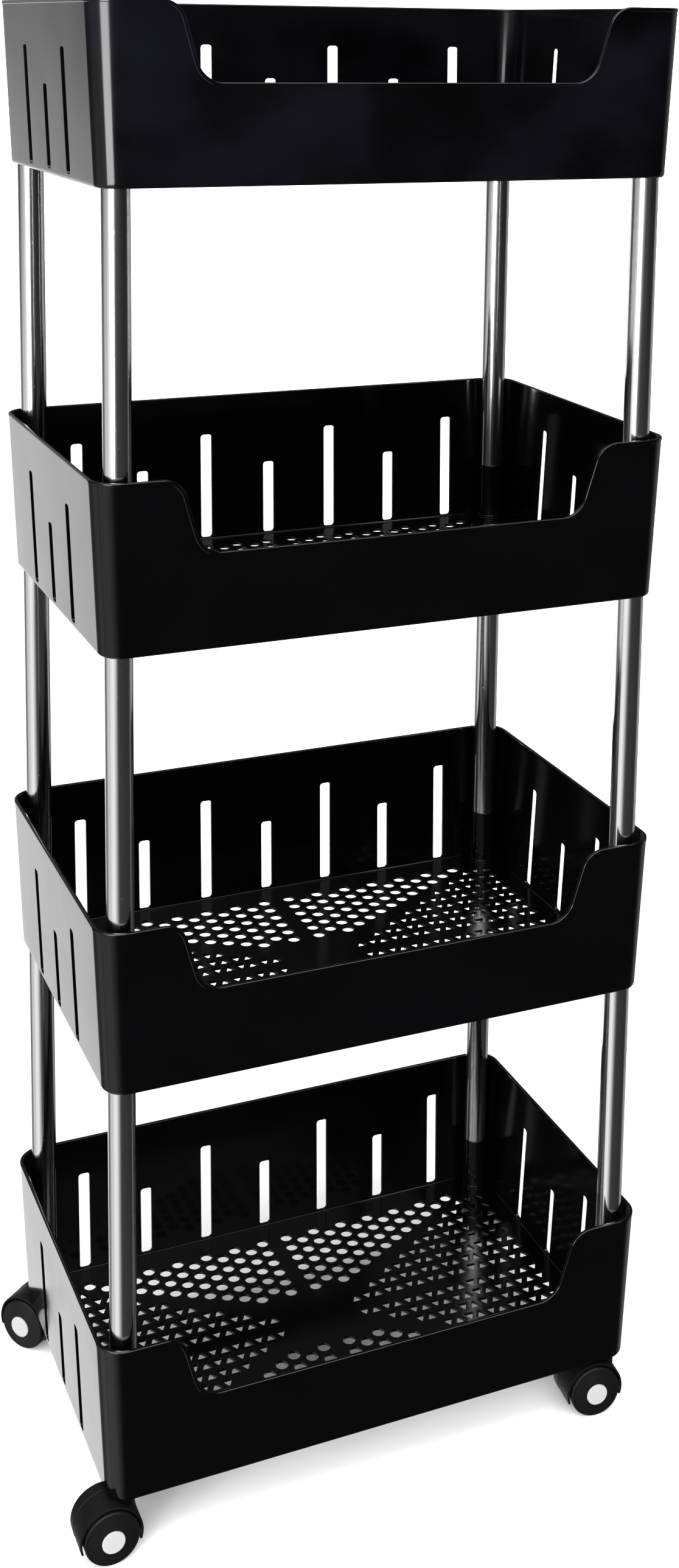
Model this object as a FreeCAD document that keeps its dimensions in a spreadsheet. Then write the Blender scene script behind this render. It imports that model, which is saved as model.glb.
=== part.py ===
import FreeCAD, Part
import math
import os

import Sketcher

# Four-tier rolling tray cart.  Millimetres, +Z up, front towards -Y.
# The origin is on the floor, under the middle of the cart.

SIZES = {
    # tray shell
    "tray_width_top": 400.0,
    "tray_depth_top": 248.0,
    "tray_width_bottom": 390.0,
    "tray_depth_bottom": 241.5,
    "tray_height": 111.0,
    "corner_radius_top": 18.0,
    "corner_radius_bottom": 15.0,
    "wall_thickness": 2.4,
    "floor_top": 3.0,
    "floor_recess": 1.0,
    "recess_margin": 2.8,
    "foot_ease": 1.6,
    "foot_height": 2.0,
    # tiers
    "tray_clearance": 42.0,
    "tier_pitch": 287.0,
    # slots in the back and side walls
    "slot_width": 8.5,
    "slot_bottom": 4.0,
    "slot_long_top": 82.0,
    "slot_short_top": 58.0,
    "slot_corner_radius": 2.3,
    "back_slot_pitch": 49.3,
    "side_slot_pitch": 48.8,
    # low front edge between the two ears
    "dip_height": 62.5,
    "ear_x": 158.0,
    "ear_curve_radius": 16.0,
    "dip_x": 119.0,
    "dip_curve_radius": 17.0,
    # round holes, front and back fields of the tray floor
    "round_hole_radius": 4.4,
    "round_first_x": 10.0,
    "round_pitch_x": 11.7,
    "round_first_y": 33.5,
    "round_pitch_y": 12.7,
    # three-cornered holes, left and right fields of the tray floor
    "tri_width": 7.8,
    "tri_depth": 7.0,
    "tri_first_x": 33.5,
    "tri_pitch_x": 8.9,
    "tri_first_y": 8.4,
    "tri_pitch_y": 11.5,
    # tubes and corner posts
    "tube_x": 182.0,
    "tube_y": 107.5,
    "tube_outer_radius": 9.0,
    "tube_inner_radius": 8.0,
    "post_radius": 9.2,
    "post_height": 45.0,
    "collar_radius": 9.8,
    "collar_top": 5.0,
    "seat_radius": 10.2,
    "seat_height": 0.4,
    "tenon_radius": 7.95,
    "tenon_length": 26.0,
    "floor_hole_radius": 8.0,
    "post_bore_radius": 5.5,
    "post_bore_depth": 36.0,
    "cap_bevel": 2.0,
    # caster stem
    "stem_radius": 4.0,
    "stem_foot_height": 23.0,
    "stem_length_above": 32.0,
    "stem_flange_radius": 8.0,
    "stem_flange_thickness": 2.0,
    "grip_radius": 5.45,
    "grip_height": 6.0,
    "grip_low_ring": 5.0,
    "grip_high_ring": 24.0,
    # caster hood
    "trail": 12.0,
    "hood_radius": 21.5,
    "well_radius": 20.0,
    "hood_half_width": 13.2,
    "web_half_width": 5.2,
    "barrel_radius": 7.0,
    "barrel_top": 40.6,
    "barrel_bottom": 24.0,
    "stem_bore_radius": 4.05,
    "stem_bore_bottom": 22.0,
    "hood_lower_edge": 12.5,
    # wheels, caps and axle
    "wheel_radius": 18.75,
    "wheel_inner_face": 5.7,
    "wheel_rim_face": 14.6,
    "wheel_dome_face": 17.0,
    "wheel_edge": 1.2,
    "wheel_recess_face": 8.7,
    "wheel_recess_outer": 15.5,
    "hub_radius": 6.5,
    "axle_radius": 3.0,
    "axle_half_length": 15.0,
    "wheel_bore_radius": 3.05,
    "cap_seat_radius": 8.0,
    "cap_radius": 7.9,
    "cap_seat_face": 15.2,
    "cap_edge_face": 17.5,
    "cap_face": 18.4,
    "cap_flat_radius": 5.5,
}

TIERS = 4
BACK_SLOTS = 7
SIDE_SLOTS = 3
ROUND_COLUMNS = 13
TRI_COLUMNS = 17
TRI_ROWS = 8
# corner name: side of X, side of Y, rest heading of the caster's trail in degrees
CORNERS = {
    "front_left": (-1, -1, 180.0),
    "front_right": (1, -1, 175.0),
    "back_left": (-1, 1, 128.0),
    "back_right": (1, 1, -15.0),
}

doc = FreeCAD.newDocument("rolling_tray_cart")
sheet = doc.addObject("Spreadsheet::Sheet", "Sizes")
nodes = []


def fill_sheet():
    for row, (alias, value) in enumerate(SIZES.items(), start=1):
        sheet.set("A%d" % row, alias)
        sheet.set("B%d" % row, str(value))
        sheet.setAlias("B%d" % row, alias)
    doc.recompute()


def size(expression):
    """Value in mm of a sum or product of sheet aliases."""
    return float(sheet.evalExpression(bind(expression)))


def bind(expression):
    """The same expression with every alias pointed at the sheet."""
    words = expression.replace("(", " ( ").replace(")", " ) ").split()
    bound = []
    for word in words:
        bare = word.lstrip("-")
        if bare in SIZES:
            word = word.replace(bare, "Sizes." + bare)
        bound.append(word)
    return " ".join(bound)


def drive(obj, prop, expression):
    obj.setExpression(prop, bind(expression))


def place(obj, x="0", y="0", z="0", turn=0.0):
    """Stand a sub-part at its place, turned about +Z by turn degrees."""
    rotation = FreeCAD.Rotation(FreeCAD.Vector(0, 0, 1), turn)
    obj.Placement = FreeCAD.Placement(FreeCAD.Vector(0, 0, 0), rotation)
    drive(obj, ".Placement.Base.x", x)
    drive(obj, ".Placement.Base.y", y)
    drive(obj, ".Placement.Base.z", z)


def keep(obj, label):
    """List a finished sub-part under the name of its file."""
    obj.Label = label
    nodes.append(obj)
    return obj


# ---------------------------------------------------------------- sketches

def new_body(name):
    return doc.addObject("PartDesign::Body", name)


def new_sketch(body, name, role):
    """A sketch on one of the body's own origin planes."""
    sketch = body.newObject("Sketcher::SketchObject", name)
    plane = [feature for feature in body.Origin.OriginFeatures if feature.Role == role][0]
    sketch.AttachmentSupport = [(plane, "")]
    sketch.MapMode = "FlatFace"
    return sketch


def constrain_value(sketch, expression, *arguments):
    """A dimension of a sketch, driven by the sheet."""
    index = sketch.addConstraint(Sketcher.Constraint(*arguments, size(expression)))
    sketch.setExpression("Constraints[%d]" % index, bind(expression))


def draw_polygon(sketch, points):
    """A closed outline whose corners are pairs of sheet expressions."""
    corners = [FreeCAD.Vector(size(x), size(y), 0) for x, y in points]
    count = len(corners)
    for index in range(count):
        line = Part.LineSegment(corners[index], corners[(index + 1) % count])
        sketch.addGeometry(line, False)
    for index in range(count):
        joint = Sketcher.Constraint("Coincident", index, 2, (index + 1) % count, 1)
        sketch.addConstraint(joint)
    for index, (x, y) in enumerate(points):
        constrain_value(sketch, x, "DistanceX", index, 1)
        constrain_value(sketch, y, "DistanceY", index, 1)


def draw_rounded_rectangle(sketch, width, depth, radius):
    """A rounded rectangle centred on the sketch's origin."""
    half_x = size(width) / 2
    half_y = size(depth) / 2
    r = size(radius)
    centres = [(half_x - r, half_y - r), (r - half_x, half_y - r),
               (r - half_x, r - half_y), (half_x - r, r - half_y)]
    for index, (x, y) in enumerate(centres):
        circle = Part.Circle(FreeCAD.Vector(x, y, 0), FreeCAD.Vector(0, 0, 1), r)
        start = index * math.pi / 2
        sketch.addGeometry(Part.ArcOfCircle(circle, start, start + math.pi / 2), False)
    for index in range(4):
        arc = sketch.Geometry[index]
        following = sketch.Geometry[(index + 1) % 4]
        sketch.addGeometry(Part.LineSegment(arc.EndPoint, following.StartPoint), False)
    for index in range(4):
        sketch.addConstraint(Sketcher.Constraint("Tangent", index, 2, 4 + index, 1))
        sketch.addConstraint(Sketcher.Constraint("Tangent", 4 + index, 2, (index + 1) % 4, 1))
        flat = "Horizontal" if index % 2 == 0 else "Vertical"
        sketch.addConstraint(Sketcher.Constraint(flat, 4 + index))
        if index:
            sketch.addConstraint(Sketcher.Constraint("Equal", 0, index))
    sketch.addConstraint(Sketcher.Constraint("Symmetric", 0, 3, 2, 3, -1, 1))
    constrain_value(sketch, radius, "Radius", 0)
    constrain_value(sketch, "(%s) - 2 * (%s)" % (width, radius), "DistanceX", 1, 3, 0, 3)
    constrain_value(sketch, "(%s) - 2 * (%s)" % (depth, radius), "DistanceY", 2, 3, 1, 3)


def turned(name, role, points):
    """A body turned about the sketch's vertical axis."""
    body = new_body(name)
    sketch = new_sketch(body, name + "_profile", role)
    draw_polygon(sketch, points)
    turn = body.newObject("PartDesign::Revolution", name + "_turn")
    turn.Profile = sketch
    turn.ReferenceAxis = (sketch, ["V_Axis"])
    turn.Angle = 360.0
    return body


# ---------------------------------------------------------------- tray

def lofted(name, levels):
    """A body with straight sides from one rounded rectangle to the next."""
    body = new_body(name)
    sections = []
    for number, (width, depth, radius, height) in enumerate(levels):
        sketch = new_sketch(body, "%s_%d" % (name, number), "XY_Plane")
        drive(sketch, ".AttachmentOffset.Base.z", height)
        draw_rounded_rectangle(sketch, width, depth, radius)
        sections.append(sketch)
    loft = body.newObject("PartDesign::AdditiveLoft", name + "_loft")
    loft.Profile = sections[0]
    loft.Sections = sections[1:]
    loft.Ruled = True
    doc.recompute()
    return body


def tray_outside():
    """Drafted block of the tray's outer shape, with an eased edge round its foot."""
    return lofted("tray_outside", [
        ("tray_width_bottom - 2 * foot_ease", "tray_depth_bottom - 2 * foot_ease",
         "corner_radius_bottom - foot_ease", "0"),
        ("tray_width_bottom", "tray_depth_bottom", "corner_radius_bottom", "foot_height"),
        ("tray_width_top", "tray_depth_top", "corner_radius_top", "tray_height")])


def tray_inside():
    """The space the tray holds, down to the top of its floor."""
    return lofted("tray_inside", [
        ("tray_width_bottom - 2 * wall_thickness", "tray_depth_bottom - 2 * wall_thickness",
         "corner_radius_bottom - wall_thickness", "floor_top"),
        ("tray_width_top - 2 * wall_thickness", "tray_depth_top - 2 * wall_thickness",
         "corner_radius_top - wall_thickness", "tray_height")])


def floor_recess():
    """The shallow space under the floor, inside the foot rim."""
    body = new_body("floor_recess_space")
    sketch = new_sketch(body, "recess_outline", "XY_Plane")
    draw_rounded_rectangle(sketch, "tray_width_bottom - 2 * recess_margin",
                           "tray_depth_bottom - 2 * recess_margin",
                           "corner_radius_bottom - recess_margin")
    pad = body.newObject("PartDesign::Pad", "recess_pad")
    pad.Profile = sketch
    drive(pad, "Length", "floor_recess")
    return body


def post_seats():
    """Low round seats on the tray floor, one under each corner post's collar."""
    pieces = []
    for corner, (side_x, side_y, heading) in CORNERS.items():
        pieces.append(cylinder("post_seat_" + corner, "seat_radius", "floor_top / 2 + seat_height",
                               "%d * tube_x" % side_x, "%d * tube_y" % side_y, "floor_top / 2"))
    return pieces


def tray_shell():
    """Open box with drafted walls, rounded corners, post seats and a foot rim."""
    hollow = cut("hollow_tray", tray_outside(), tray_inside())
    seated = fused("seated_tray", [hollow] + post_seats())
    return cut("tray_shell", seated, floor_recess())


def box(name, length, width, height, x, y, z):
    """A Part::Box with its low corner at x, y, z."""
    solid = doc.addObject("Part::Box", name)
    drive(solid, "Length", length)
    drive(solid, "Width", width)
    drive(solid, "Height", height)
    place(solid, x, y, z)
    return solid


def cylinder(name, radius, length, x, y, z, axis="Z"):
    """A Part::Cylinder that starts at x, y, z and runs along +axis."""
    solid = doc.addObject("Part::Cylinder", name)
    drive(solid, "Radius", radius)
    drive(solid, "Height", length)
    place(solid, x, y, z)
    if axis == "X":
        solid.Placement.Rotation = FreeCAD.Rotation(FreeCAD.Vector(0, 1, 0), 90)
    if axis == "Y":
        solid.Placement.Rotation = FreeCAD.Rotation(FreeCAD.Vector(1, 0, 0), -90)
    return solid


def fused(name, pieces):
    union = doc.addObject("Part::MultiFuse", name)
    union.Shapes = pieces
    return union


def cut(name, base, tool):
    difference = doc.addObject("Part::Cut", name)
    difference.Base = base
    difference.Tool = tool
    return difference


def slot_top(index):
    """Slots alternate long, short, long, counted from either end."""
    return "slot_long_top" if index % 2 == 0 else "slot_short_top"


def slot_pieces(name, top, middle, start, length, axis):
    """Cutters of one slot through a wall, along +axis from start: its top corners are rounded."""
    shoulder = top + " - slot_corner_radius"
    half_flat = "(slot_width / 2 - slot_corner_radius)"
    pieces = []
    for tag, half, high in (("_body", "slot_width / 2", shoulder), ("_crown", half_flat, top)):
        width = "2 * " + half
        edge = middle + " - " + half
        height = high + " - slot_bottom"
        if axis == "Y":
            pieces.append(box(name + tag, width, length, height, edge, start, "slot_bottom"))
        else:
            pieces.append(box(name + tag, length, width, height, start, edge, "slot_bottom"))
    for tag, sign in (("_corner_a", " - "), ("_corner_b", " + ")):
        centre = middle + sign + half_flat
        x, y = (centre, start) if axis == "Y" else (start, centre)
        pieces.append(cylinder(name + tag, "slot_corner_radius", length, x, y, shoulder, axis))
    return pieces


def slot_cutters():
    """Upright slots: seven in the back wall and three in each side wall."""
    pieces = []
    for index in range(BACK_SLOTS):
        middle = "%g * back_slot_pitch" % (index - (BACK_SLOTS - 1) / 2)
        pieces += slot_pieces("back_slot_%d" % index, slot_top(index), middle,
                              "tray_depth_top * 0.4", "tray_depth_top / 4", "Y")
    for index in range(SIDE_SLOTS):
        middle = "%g * side_slot_pitch" % (index - (SIDE_SLOTS - 1) / 2)
        pieces += slot_pieces("side_slot_%d" % index, slot_top(index), middle,
                              "-0.55 * tray_width_top", "tray_width_top * 1.1", "X")
    return fused("slot_cutters", pieces)


def post_hole_cutters():
    """Holes in the tray floor for the corner posts' tenons."""
    pieces = []
    for corner, (side_x, side_y, heading) in CORNERS.items():
        pieces.append(cylinder("post_hole_" + corner, "floor_hole_radius", "2 * floor_top",
                               "%d * tube_x" % side_x, "%d * tube_y" % side_y, "-0.5 * floor_top"))
    return fused("post_hole_cutters", pieces)


def dip_outline():
    """Closed wire of the low front opening, in the XZ plane, right half mirrored to the left."""
    top = size("tray_height")
    ear = FreeCAD.Vector(size("ear_x"), 0, top - size("ear_curve_radius"))
    dip = FreeCAD.Vector(size("dip_x"), 0, size("dip_height") + size("dip_curve_radius"))
    ear_r = size("ear_curve_radius")
    dip_r = size("dip_curve_radius")
    # the straight run between the two arcs is their inner common tangent
    between = dip - ear
    lean = math.atan2(between.z, between.x) - math.acos((ear_r + dip_r) / between.Length)
    normal = FreeCAD.Vector(math.cos(lean), 0, math.sin(lean))
    ear_start = ear + FreeCAD.Vector(0, 0, ear_r)
    ear_mid_turn = (math.pi / 2 + lean % (2 * math.pi)) / 2
    ear_mid = ear + FreeCAD.Vector(math.cos(ear_mid_turn), 0, math.sin(ear_mid_turn)) * ear_r
    ear_end = ear + normal * ear_r
    dip_start = dip - normal * dip_r
    dip_turn = lean % (2 * math.pi) - math.pi
    dip_mid_turn = (dip_turn - math.pi / 2) / 2
    dip_mid = dip + FreeCAD.Vector(math.cos(dip_mid_turn), 0, math.sin(dip_mid_turn)) * dip_r
    dip_end = dip - FreeCAD.Vector(0, 0, dip_r)
    above = ear_start + FreeCAD.Vector(0, 0, 5)
    edges = []
    for side in (1, -1):
        def at(point):
            return FreeCAD.Vector(side * point.x, 0, point.z)
        edges.append(Part.LineSegment(at(above), at(ear_start)).toShape())
        edges.append(Part.Arc(at(ear_start), at(ear_mid), at(ear_end)).toShape())
        edges.append(Part.LineSegment(at(ear_end), at(dip_start)).toShape())
        edges.append(Part.Arc(at(dip_start), at(dip_mid), at(dip_end)).toShape())
    flat = FreeCAD.Vector(-dip_end.x, 0, dip_end.z)
    closing = FreeCAD.Vector(-above.x, 0, above.z)
    edges.append(Part.LineSegment(dip_end, flat).toShape())
    edges.append(Part.LineSegment(closing, above).toShape())
    return Part.Wire(Part.__sortEdges__(edges))


def dip_cutter():
    """Prism that lowers the front wall between its ears."""
    cutter = doc.addObject("Part::Feature", "dip_cutter")
    face = Part.Face(dip_outline())
    face.translate(FreeCAD.Vector(0, -0.35 * size("tray_depth_top"), 0))
    cutter.Shape = face.extrude(FreeCAD.Vector(0, -0.25 * size("tray_depth_top"), 0))
    return cutter


def round_hole_centres():
    """Staggered columns that fill a triangle pointing at the tray's middle."""
    centres = []
    limit_x = size("round_first_x + 2 * round_pitch_x")
    slope = size("round_pitch_y") / 2 / size("round_pitch_x")
    outer = size("round_first_y + 5 * round_pitch_y")
    for column in range(ROUND_COLUMNS):
        x = size("round_first_x") + column * size("round_pitch_x")
        y = size("round_first_y") + (column % 2) * size("round_pitch_y") / 2
        nearest = size("round_first_y") + max(0.0, x - limit_x) * slope - 0.5
        while y < outer + 0.5:
            if y > nearest:
                centres.append((x, y))
            y += size("round_pitch_y")
    return centres


def triangle_centres():
    """Rows of alternating triangles that fill the fields left and right of the middle."""
    centres = []
    for row in range(TRI_ROWS):
        y = size("tri_first_y") + row * size("tri_pitch_y")
        for column in range(2 * row, TRI_COLUMNS):
            x = size("tri_first_x") + column * size("tri_pitch_x")
            points_out = 1 if column % 2 == 0 else -1
            centres.append((x, y, points_out))
    return centres


def perforation():
    """All the floor holes of one tray, mirrored into its four quarters."""
    low = -0.5 * size("floor_top")
    through = FreeCAD.Vector(0, 0, 2 * size("floor_top"))
    half_width = size("tri_width") / 2
    half_depth = size("tri_depth") / 2
    prisms = []
    for side_x in (1, -1):
        for side_y in (1, -1):
            for x, y in round_hole_centres():
                centre = FreeCAD.Vector(side_x * x, side_y * y, low)
                prisms.append(Part.makeCylinder(size("round_hole_radius"), through.z, centre))
            for x, y, points_out in triangle_centres():
                tip = side_y * points_out * half_depth
                centre = FreeCAD.Vector(side_x * x, side_y * y, low)
                corners = [centre + FreeCAD.Vector(-half_width, -tip, 0),
                           centre + FreeCAD.Vector(half_width, -tip, 0),
                           centre + FreeCAD.Vector(0, tip, 0)]
                face = Part.Face(Part.makePolygon(corners + corners[:1]))
                prisms.append(face.extrude(through))
    holes = doc.addObject("Part::Feature", "perforation")
    holes.Shape = Part.makeCompound(prisms)
    return holes


def trays():
    """One moulding, repeated on every tier."""
    slotted = cut("slotted_tray", tray_shell(), slot_cutters())
    drilled = cut("drilled_tray", slotted, post_hole_cutters())
    dipped = cut("dipped_tray", drilled, dip_cutter())
    moulding = cut("tray_moulding", dipped, perforation())
    doc.recompute()
    for tier in range(TIERS):
        tray = doc.addObject("Part::Compound", "tray_%d" % (tier + 1))
        tray.Links = [moulding]
        place(tray, z="tray_clearance + %d * tier_pitch" % tier)
        keep(tray, "tray_%d" % (tier + 1))


# ---------------------------------------------------------------- tubes and posts

def tier_height(tier, above="0"):
    return "tray_clearance + %d * tier_pitch + %s" % (tier, above)


def tube(tier, corner, side_x, side_y):
    """Tube from the shoulder of one post to the underside of the next tray's floor."""
    length = "tier_pitch - post_height + floor_recess"
    points = [("tube_inner_radius", "0"), ("tube_outer_radius", "0"),
              ("tube_outer_radius", length), ("tube_inner_radius", length)]
    name = "tube_%d_%s" % (tier + 1, corner)
    body = turned(name, "XZ_Plane", points)
    place(body, "%d * tube_x" % side_x, "%d * tube_y" % side_y, tier_height(tier, "post_height"))
    keep(body, name)


def post_points(tier):
    """Half section of a corner post, heights counted from the tray's underside."""
    collar_low = "floor_top + seat_height"
    outside = [("collar_radius", collar_low), ("collar_radius", "collar_top"),
               ("post_radius", "collar_top"), ("post_radius", "post_height")]
    tenon_top = "post_height + tenon_length"
    if tier == 0:
        # socket for the caster stem, tenon for the tube above
        bore_top = "floor_recess + post_bore_depth"
        inside = [("0", tenon_top), ("0", bore_top), ("post_bore_radius", bore_top),
                  ("post_bore_radius", "floor_recess"), ("tenon_radius", "floor_recess"),
                  ("tenon_radius", collar_low)]
        return outside + [("tenon_radius", "post_height"), ("tenon_radius", tenon_top)] + inside
    lower_end = "floor_recess - tenon_length"
    lower = [("0", lower_end), ("tenon_radius", lower_end), ("tenon_radius", collar_low)]
    if tier == TIERS - 1:
        # the top tier's posts carry nothing and are closed
        outside[-1] = ("post_radius", "post_height - cap_bevel")
        return outside + [("post_radius - cap_bevel", "post_height"), ("0", "post_height")] + lower
    return outside + [("tenon_radius", "post_height"), ("tenon_radius", tenon_top),
                      ("0", tenon_top)] + lower


def post(tier, corner, side_x, side_y):
    name = "post_%d_%s" % (tier + 1, corner)
    body = turned(name, "XZ_Plane", post_points(tier))
    place(body, "%d * tube_x" % side_x, "%d * tube_y" % side_y, tier_height(tier))
    keep(body, name)


# ---------------------------------------------------------------- casters

def caster_stem(corner, side_x, side_y):
    """Steel stem: flange under the corner post, two grip rings in the post's socket."""
    flange_high = "tray_clearance + floor_recess"
    flange_low = flange_high + " - stem_flange_thickness"
    points = [("0", "stem_foot_height"), ("stem_radius", "stem_foot_height"),
              ("stem_radius", flange_low), ("stem_flange_radius", flange_low),
              ("stem_flange_radius", flange_high), ("stem_radius", flange_high)]
    for ring in ("grip_low_ring", "grip_high_ring"):
        low = "tray_clearance + " + ring
        high = low + " + grip_height"
        points += [("stem_radius", low), ("grip_radius", low),
                   ("grip_radius", high), ("stem_radius", high)]
    points += [("stem_radius", "tray_clearance + stem_length_above"),
               ("0", "tray_clearance + stem_length_above")]
    body = turned("stem_" + corner, "XZ_Plane", points)
    place(body, "%d * tube_x" % side_x, "%d * tube_y" % side_y)
    keep(body, "caster_stem_" + corner)


def caster_hood(corner, side_x, side_y, heading):
    """Fender over both wheels, web between them and barrel round the stem."""
    tag = "_" + corner
    fender = cylinder("fender" + tag, "hood_radius", "2 * hood_half_width",
                      "trail", "-hood_half_width", "wheel_radius", "Y")
    barrel = cylinder("barrel" + tag, "barrel_radius", "barrel_top - barrel_bottom",
                      "0", "0", "barrel_bottom")
    block = fused("hood_block" + tag, [fender, barrel])
    well_depth = "hood_half_width - web_half_width + 1"
    wells = [cylinder("well_a" + tag, "well_radius", well_depth,
                      "trail", "web_half_width", "wheel_radius", "Y"),
             cylinder("well_b" + tag, "well_radius", well_depth,
                      "trail", "-hood_half_width - 1", "wheel_radius", "Y")]
    stem_bore = cylinder("stem_bore" + tag, "stem_bore_radius", "barrel_top",
                         "0", "0", "stem_bore_bottom")
    axle_hole = cylinder("axle_hole" + tag, "axle_radius", "2 * hood_half_width",
                         "trail", "-hood_half_width", "wheel_radius", "Y")
    trim = box("hood_trim" + tag, "4 * hood_radius", "4 * hood_radius", "2 * hood_radius",
               "-2 * hood_radius", "-2 * hood_radius", "hood_lower_edge - 2 * hood_radius")
    removed = fused("hood_removed" + tag, wells + [stem_bore, axle_hole, trim])
    hood = cut("hood" + tag, block, removed)
    place(hood, "%d * tube_x" % side_x, "%d * tube_y" % side_y, turn=heading)
    keep(hood, "caster_hood_" + corner)


def at_axle(body, side_x, side_y, heading, turn):
    """Stand a piece on the caster's axle."""
    cosine = math.cos(math.radians(heading))
    sine = math.sin(math.radians(heading))
    place(body, "%d * tube_x + trail * %.9f" % (side_x, cosine),
          "%d * tube_y + trail * %.9f" % (side_y, sine), "wheel_radius", turn)


def caster_axle(corner, side_x, side_y, heading):
    points = [("0", "-axle_half_length"), ("axle_radius", "-axle_half_length"),
              ("axle_radius", "axle_half_length"), ("0", "axle_half_length")]
    body = turned("axle_" + corner, "XY_Plane", points)
    at_axle(body, side_x, side_y, heading, heading)
    keep(body, "caster_axle_" + corner)


def caster_wheel(corner, side_x, side_y, heading, number):
    """Wheel with a hollow inner side, domed face and a seat for its cap."""
    rim_edge = "wheel_radius - wheel_edge"
    points = [("wheel_bore_radius", "wheel_inner_face"), ("hub_radius", "wheel_inner_face"),
              ("hub_radius", "wheel_recess_face"), ("wheel_recess_outer", "wheel_recess_face"),
              ("wheel_recess_outer", "wheel_inner_face"), (rim_edge, "wheel_inner_face"),
              ("wheel_radius", "wheel_inner_face + wheel_edge"),
              ("wheel_radius", "wheel_rim_face - wheel_edge"), (rim_edge, "wheel_rim_face"),
              ("cap_seat_radius", "wheel_dome_face"), ("cap_seat_radius", "cap_seat_face"),
              ("wheel_bore_radius", "cap_seat_face")]
    body = turned("wheel_%s_%d" % (corner, number), "XY_Plane", points)
    at_axle(body, side_x, side_y, heading, heading + 180.0 * (number - 1))
    keep(body, "caster_wheel_%s_%d" % (corner, number))


def wheel_cap(corner, side_x, side_y, heading, number):
    points = [("0", "cap_seat_face"), ("cap_radius", "cap_seat_face"),
              ("cap_radius", "cap_edge_face"), ("cap_flat_radius", "cap_face"),
              ("0", "cap_face")]
    body = turned("cap_%s_%d" % (corner, number), "XY_Plane", points)
    at_axle(body, side_x, side_y, heading, heading + 180.0 * (number - 1))
    keep(body, "caster_cap_%s_%d" % (corner, number))


# ---------------------------------------------------------------- assembly

def check_document():
    """Every object has recomputed, and every sub-part is a valid closed solid."""
    for obj in doc.Objects:
        if "Invalid" in obj.State or "Error" in obj.State:
            raise RuntimeError("%s failed: %s" % (obj.Name, obj.State))
    for node in nodes:
        shape = node.Shape
        if shape.isNull() or not shape.isValid() or not shape.Solids:
            raise RuntimeError("%s has no valid solid" % node.Label)


def export_nodes():
    os.makedirs("parts", exist_ok=True)
    for node in nodes:
        node.Shape.exportStep("parts/%s.step" % node.Label)


def build():
    fill_sheet()
    trays()
    for corner, (side_x, side_y, heading) in CORNERS.items():
        for tier in range(TIERS):
            post(tier, corner, side_x, side_y)
            if tier < TIERS - 1:
                tube(tier, corner, side_x, side_y)
        caster_stem(corner, side_x, side_y)
        caster_hood(corner, side_x, side_y, heading)
        caster_axle(corner, side_x, side_y, heading)
        for number in (1, 2):
            caster_wheel(corner, side_x, side_y, heading, number)
            wheel_cap(corner, side_x, side_y, heading, number)
    doc.recompute()
    check_document()
    export_nodes()
    print("nodes:", len(nodes))
    for node in nodes:
        bounds = node.Shape.BoundBox
        print("%-28s volume %10.1f  z %7.2f to %7.2f" %
              (node.Label, node.Shape.Volume, bounds.ZMin, bounds.ZMax))


build()
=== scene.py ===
"""Looks of the four-tier rolling tray cart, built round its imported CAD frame.

Metres, +Z up, front towards -Y.
"""

import math
from functools import partial

import bmesh
import bpy
from mathutils import Matrix, Vector
from mathutils.geometry import delaunay_2d_cdt


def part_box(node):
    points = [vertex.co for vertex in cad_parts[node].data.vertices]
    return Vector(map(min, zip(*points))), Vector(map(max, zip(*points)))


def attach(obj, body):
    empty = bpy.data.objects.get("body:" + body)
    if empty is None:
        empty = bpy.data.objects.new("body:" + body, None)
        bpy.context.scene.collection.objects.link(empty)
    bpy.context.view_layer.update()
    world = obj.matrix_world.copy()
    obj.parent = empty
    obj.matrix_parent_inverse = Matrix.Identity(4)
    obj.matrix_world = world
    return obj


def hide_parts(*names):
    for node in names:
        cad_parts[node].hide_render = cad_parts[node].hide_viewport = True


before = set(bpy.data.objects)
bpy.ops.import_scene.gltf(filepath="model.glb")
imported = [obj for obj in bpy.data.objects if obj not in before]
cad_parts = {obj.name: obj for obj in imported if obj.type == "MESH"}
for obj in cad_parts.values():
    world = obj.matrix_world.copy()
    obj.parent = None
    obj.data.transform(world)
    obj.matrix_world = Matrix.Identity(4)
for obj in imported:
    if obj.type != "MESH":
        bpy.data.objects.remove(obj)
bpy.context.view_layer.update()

MM = 0.001
TIERS = 4
CORNERS = ("front_left", "front_right", "back_left", "back_right")

# tray, from the frame
tray_low, tray_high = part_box("tray_1")
TRAY_BASE = tray_low.z
TRAY_HEIGHT = tray_high.z - tray_low.z
TIER_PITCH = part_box("tray_2")[0].z - tray_low.z
TOP_HALF_X = tray_high.x
TOP_HALF_Y = tray_high.y

# tray, shape of the moulding
DRAFT_X = 5.0 * MM
DRAFT_Y = 3.25 * MM
FOOT_HALF_X = TOP_HALF_X - DRAFT_X
FOOT_HALF_Y = TOP_HALF_Y - DRAFT_Y
TOP_RADIUS = 18.0 * MM
FOOT_RADIUS = 15.0 * MM
WALL = 2.4 * MM
FLOOR_TOP = 3.0 * MM
FLOOR_UNDER = 1.0 * MM
FOOT_EDGE = 2.2 * MM
FOOT_RING = 3.4 * MM
FILLET = 0.7 * MM
FLOOR_EDGE = 3.8 * MM
EDGE_ROUND = 0.3 * MM

# how finely curves are drawn
CORNER_STEPS = 12
STRAIGHT_STEPS = 8
FOOT_STEPS = 5
ROUND_STEPS = 3
HOLE_STEPS = 24
SEAT_STEPS = 48
POST_STEPS = 64
WHEEL_STEPS = 96
SHARP_ANGLE = math.radians(40.0)

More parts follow.
